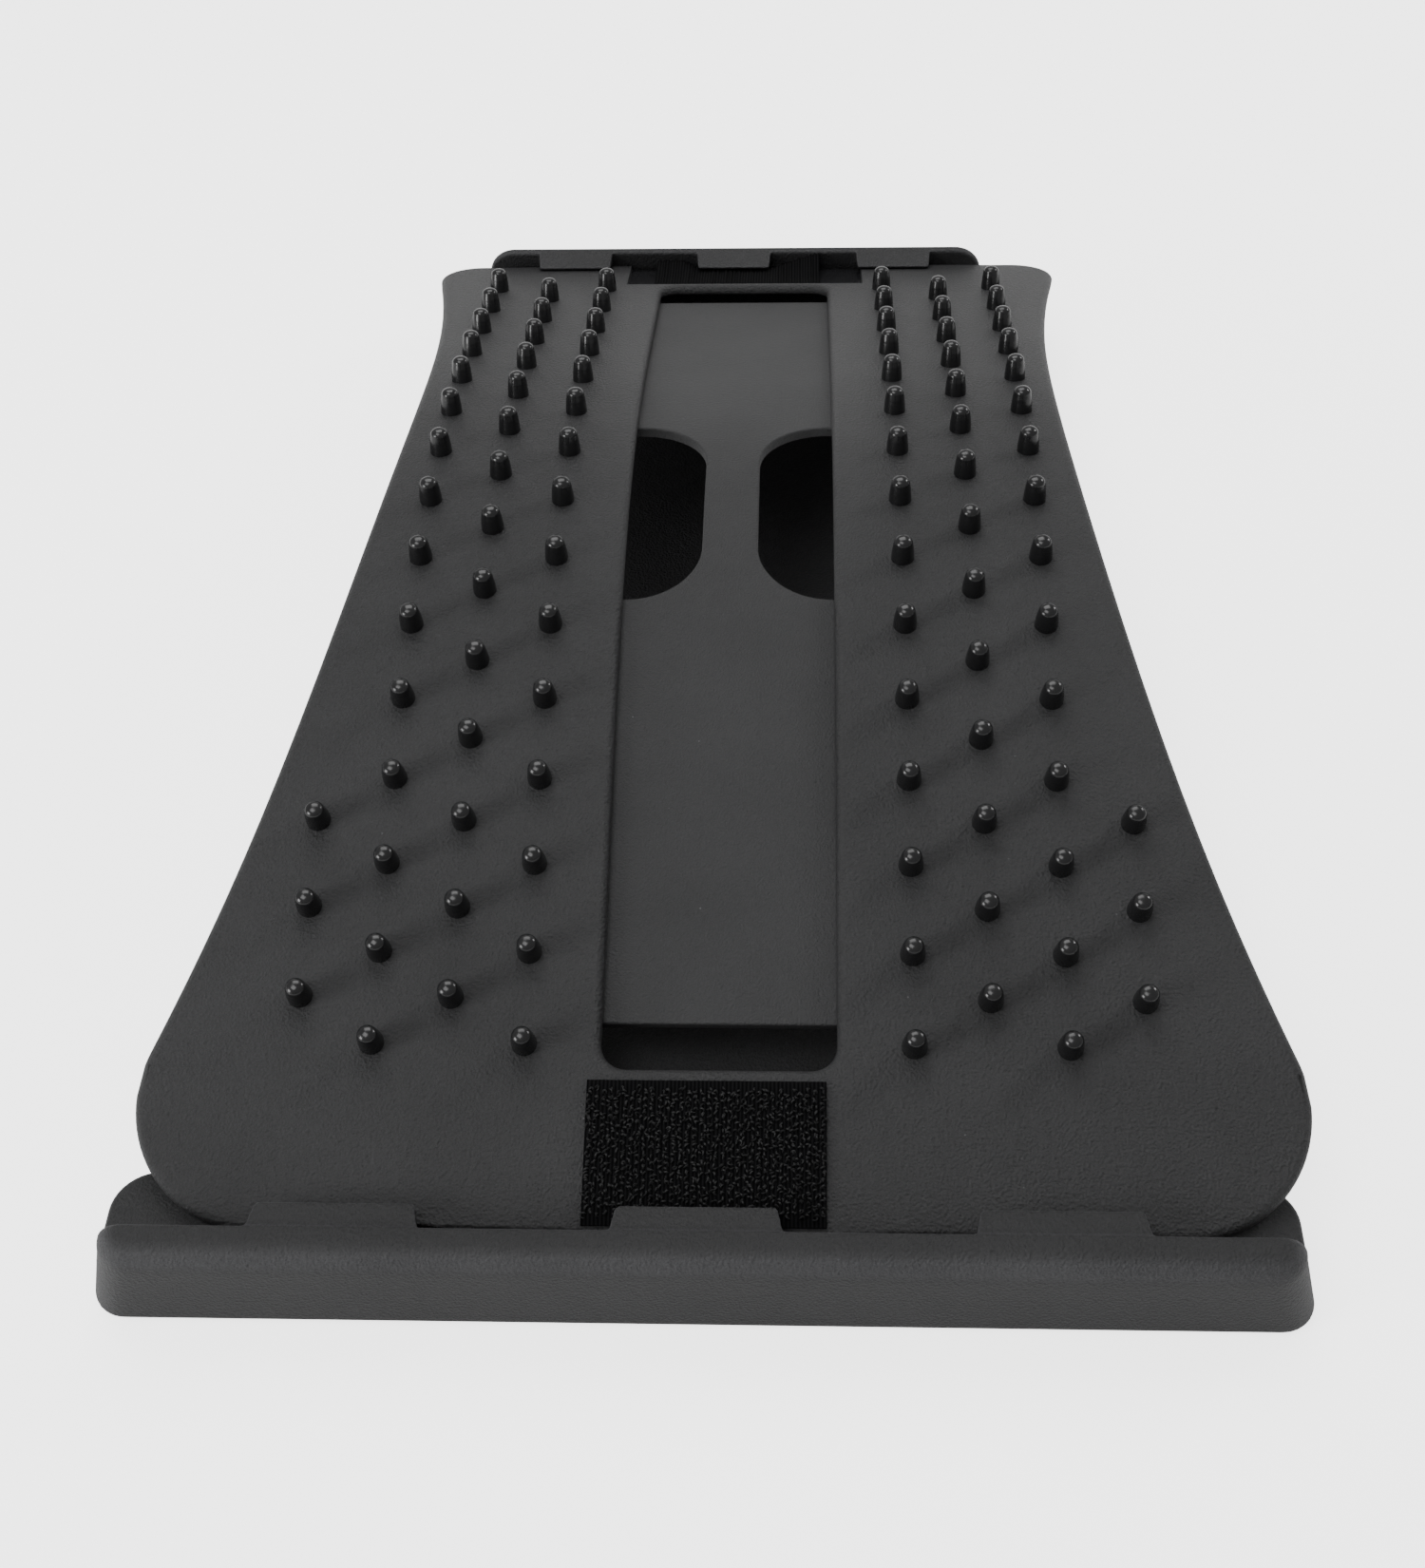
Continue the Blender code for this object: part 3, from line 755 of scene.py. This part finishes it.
def tab_outline(x, width, root, tip, taper, corner, flare_out):
    """A hook in plan: fillets at its root, slanted sides and rounded tip corners."""
    sign = 1 if tip > root else -1
    points = []
    half = 0.5 * width
    for i in range(7):
        turn = 0.5 * math.pi * i / 6
        out = half + flare_out * (1 - math.sin(turn))
        points.append((out, root + sign * flare_out * (1 - math.cos(turn))))
    for i in range(9):
        turn = 0.5 * math.pi * i / 8
        reach = half - taper - corner * (1 - math.cos(turn))
        points.append((reach, tip - sign * corner * (1 - math.sin(turn))))
    mirrored = [(-a, b) for a, b in reversed(points)]
    return [(BASE_X + x + a, b) for a, b in points + mirrored]


def tab(work, outline, low, high):
    """A hook from its plan outline; low(y) and high(y) are the heights of its faces."""
    loft(work, [[(x, y, low(y)) for x, y in outline], [(x, y, high(y)) for x, y in outline]])


def remeshed(name, work, voxel, relax, keep):
    """One skin around overlapping solids, with its edges and inner corners relaxed."""
    item = link(name, mesh_from(name, work), BASE_PLASTIC)
    skin = item.modifiers.new("skin", "REMESH")
    skin.mode = "VOXEL"
    skin.voxel_size = voxel
    relaxing = item.modifiers.new("relax", "SMOOTH")
    relaxing.factor = 0.5
    relaxing.iterations = relax
    fewer = item.modifiers.new("fewer", "DECIMATE")
    fewer.ratio = keep
    applied(item)
    item.data.shade_smooth()
    return item


def make_near_rail():
    work = bmesh.new()
    rings = []
    for z, inset in ((BASE_BOTTOM, 0.5 * MM), (BASE_BOTTOM + 0.5 * MM, 0)):
        outline = outline_points(RAIL_HALF - inset, NEAR_FACE + inset, NEAR_WALL, 7.6 * MM, MM)
        rings.append([(x, y, z) for x, y in outline])
    for i in range(10):
        turn = 0.5 * math.pi * i / 9
        inset = RAIL_ROLL * (1 - math.cos(turn))
        half = RAIL_HALF - END_DRAFT - inset
        front = NEAR_FACE + RAIL_DRAFT + inset
        outline = outline_points(half, front, NEAR_WALL, 7.5 * MM - 1.05 * inset, 0.9 * MM)
        z = RAIL_TOP - RAIL_ROLL * (1 - math.sin(turn))
        rings.append([(x, y, z) for x, y in outline])
    loft(work, rings)
    pitch, width = NEAR_TABS
    for i in (-1, 0, 1):
        outline = tab_outline(i * pitch, width, NEAR_WALL, NEAR_TAB_TIP, 0.7 * MM, 1.4 * MM, 1.1 * MM)
        buried = [(x, NEAR_WALL - 3 * MM if y <= NEAR_WALL + 0.01 * MM else y) for x, y in outline]
        tab(work, buried, lambda y: NEAR_TAB_LOW, lambda y: NEAR_TAB_TOP)
    return remeshed("near_rail", work, 0.45 * MM, 5, 0.35)


def make_far_rail():
    work = bmesh.new()
    rings = []
    for y, inset in ((FAR_WALL, 0.7), (FAR_WALL + 0.7 * MM, 0), (FAR_FACE - 0.7 * MM, 0), (FAR_FACE, 0.7)):
        corners = (0.5 * MM, FAR_RAIL_CORNER, inset * MM)
        outline = outline_points(FAR_RAIL_HALF, BASE_BOTTOM, FAR_RAIL_TOP, *corners)
        rings.append([(x, y, z) for x, z in outline])
    loft(work, rings)
    pitch, width = FAR_TABS
    slope = math.tan(END_SLOPE)
    end = on_arch(FAR_END, 0, 0)

    def under(y):
        return end.z + slope * (end.y - y) + 0.36 * MM

    def over(y):
        share = min(max((y - FAR_TAB_TIP) / (FAR_WALL - FAR_TAB_TIP), 0), 1)
        tip = under(FAR_TAB_TIP) + FAR_TAB_EDGE
        return tip + share * (FAR_RAIL_TOP - 0.05 * MM - tip)

    for i in (-1, 0, 1):
        outline = tab_outline(i * pitch, width, FAR_WALL + MM, FAR_TAB_TIP, 0.5 * MM, 0.8 * MM, 0.3 * MM)
        tab(work, outline, under, over)
    return remeshed("far_rail", work, 0.36 * MM, 3, 0.35)


def boolean(item, build, operation):
    """Join a bmesh-built solid to the item, or cut it away."""
    work = bmesh.new()
    build(work)
    tool = link("tool", mesh_from("tool", work))
    step = item.modifiers.new("step", "BOOLEAN")
    step.operation = operation
    step.solver = "EXACT"
    step.object = tool
    applied(item)
    remove(tool)


def block(work, x_low, x_high, y_low, y_high, bottom, top):
    low, high = Vector((BASE_X + x_low, y_low, bottom)), Vector((BASE_X + x_high, y_high, top))
    place = Matrix.LocRotScale(0.5 * (low + high), None, high - low)
    bmesh.ops.create_cube(work, size=1, matrix=place)


def pockets(work, half, low, high, across, along, top, web=2.4 * MM):
    """A grid of hollows that open downwards, with ribs between them."""
    wide = 2 * half / across
    deep = (high - low) / along
    for i in range(across):
        for k in range(along):
            x = -half + i * wide + 0.5 * web
            y = low + k * deep
            block(work, x, x + wide - web, y, y + deep - web, -MM, top)


def make_tray():
    work = bmesh.new()
    slab(work, DECK_HALF, NEAR_WALL - 3 * MM, DECK_END, (MM, 9.5 * MM), BASE_BOTTOM, DECK_TOP, MM)
    tray = link("tray_floor", mesh_from("tray_floor", work), BASE_PLASTIC)

    def near_tray(work):
        top = DECK_TOP - 0.02 * MM
        slab(work, TRAY_HALF, DECK_END - 9 * MM, TRAY_END, (MM, 12 * MM), BASE_BOTTOM, top, MM)

    def spine(work):
        start, stop = TRAY_END - 5 * MM, FAR_TRAY_START + 5 * MM
        slab(work, SPINE_HALF, start, stop, (MM, MM), BASE_BOTTOM, SPINE_TOP, MM)

    def far_tray(work):
        stop = FAR_WALL + MM
        slab(work, FAR_TRAY_HALF, FAR_TRAY_START, stop, (12 * MM, MM), BASE_BOTTOM, FAR_DECK_TOP, MM)

    def groove_walls(work):
        for y in GROOVE_Y:
            for side in (-1, 1):
                ends = sorted((side * GROOVE_INNER, side * GROOVE_OUTER))
                block(work, *ends, y, y + 3 * MM, DECK_TOP - 2 * MM, GROOVE_TOP)

    def groove_lips(work):
        pitch, width = NEAR_TABS
        for y in GROOVE_Y:
            for side in (-1, 1):
                x, ends = 0.85 * side * pitch, (y + 2 * MM, y + 6.5 * MM)
                outline = tab_outline(x, width, *ends, 0.7 * MM, MM, 0.3 * MM)
                tab(work, outline, lambda y: GROOVE_TOP - 1.5 * MM, lambda y: GROOVE_TOP - 0.02 * MM)

    def hollows(work):
        pockets(work, 98 * MM, -174.5 * MM, -157 * MM, 6, 1, DECK_TOP - 2.5 * MM)
        pockets(work, 98 * MM, -150 * MM, -104.5 * MM, 6, 2, DECK_TOP - 2.5 * MM)
        pockets(work, 35 * MM, -98 * MM, 126 * MM, 2, 7, SPINE_TOP - 2.5 * MM)
        pockets(work, 52 * MM, 136 * MM, 176 * MM, 4, 2, FAR_DECK_TOP - 2.5 * MM)

    for build in (near_tray, spine, far_tray, groove_walls, groove_lips):
        boolean(tray, build, "UNION")
    boolean(tray, hollows, "DIFFERENCE")
    tray.data.shade_smooth()
    tray.data.set_sharp_from_angle(angle=math.radians(40))
    return tray


def make_base():
    for piece in (make_near_rail(), make_far_rail(), make_tray()):
        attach(piece, "base")
        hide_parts("base_tray")


def dress_feet():
    for number in range(1, 5):
        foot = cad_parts[f"rubber_foot_{number}"]
        foot.data.materials.clear()
        foot.data.materials.append(FOOT_RUBBER)


make_board()
make_nubs()
make_studs()
make_plate()
make_patches()
make_base()
dress_feet()


# Stage: floor, camera and lights


FLOOR_GLOW = (0.22, 2.6)  # on the object, and to the camera


def make_floor():
    work = bmesh.new()
    bmesh.ops.create_grid(work, x_segments=2, y_segments=2, size=6)
    nodes = Nodes("studio_floor", (0.93, 0.93, 0.93), 0.9, 0.1)
    nodes.shader.inputs["Emission Color"].default_value = (1, 1, 1, 1)
    seen = nodes.add("ShaderNodeLightPath").outputs["Is Camera Ray"]
    glow = nodes.span(seen, 0, 1, *FLOOR_GLOW)
    nodes.join(glow, nodes.shader.inputs["Emission Strength"])
    floor = link("studio_floor", mesh_from("studio_floor", work), nodes.material)
    floor.location.z = -0.0002
    floor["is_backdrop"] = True


def make_camera():
    data = bpy.data.cameras.new("camera")
    camera = bpy.data.objects.new("camera", data)
    bpy.context.scene.collection.objects.link(camera)
    data.lens = 48.85
    azimuth, elevation, roll = math.radians(-3.27), math.radians(47.02), math.radians(-2.19)
    level = math.cos(elevation)
    away = Vector((math.sin(azimuth) * level, math.cos(azimuth) * level, -math.sin(elevation)))
    camera.rotation_mode = "QUATERNION"
    turn = Matrix.Rotation(roll, 4, "Z").to_quaternion()
    camera.rotation_quaternion = away.to_track_quat("-Z", "Y") @ turn
    camera.location = CROWN + Vector((15.9, -402.0, 332.3)) * MM
    data.clip_start = 0.01
    data.clip_end = 20
    bpy.context.scene.camera = camera


def soft_light(name, place, target, size, watts, colour=(1, 1, 1)):
    data = bpy.data.lights.new(name, "AREA")
    data.shape = "RECTANGLE"
    data.size, data.size_y = size
    data.energy = watts
    data.color = colour
    lamp = bpy.data.objects.new(name, data)
    bpy.context.scene.collection.objects.link(lamp)
    lamp.location = place
    lamp.rotation_mode = "QUATERNION"
    lamp.rotation_quaternion = (Vector(target) - Vector(place)).to_track_quat("-Z", "Y")


def make_light():
    world = bpy.data.worlds.new("studio")
    bpy.context.scene.world = world
    world.use_nodes = True
    sky = world.node_tree.nodes["Background"]
    sky.inputs["Color"].default_value = (1, 1, 1, 1)
    sky.inputs["Strength"].default_value = 0.42
    middle = (0, 0, 0.03)
    soft_light("low_left", (-1.02, -0.66, 0.4), middle, (0.48, 0.48), 7)
    soft_light("overhead", (-0.12, 0.56, 1.08), middle, (0.9, 0.7), 7.2)
    soft_light("front_top", (-0.35, -0.42, 1.1), middle, (0.7, 0.55), 5)
    soft_light("backdrop", (0, 1.5, 0.3), middle, (2.4, 0.5), 2.2)
    soft_light("right_back", (0.9, 0.53, 0.62), middle, (0.24, 0.24), 2.4)


make_floor()
make_camera()
make_light()

visual_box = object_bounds()
[[list(corner) for corner in box] for box in (cad_box, visual_box)]
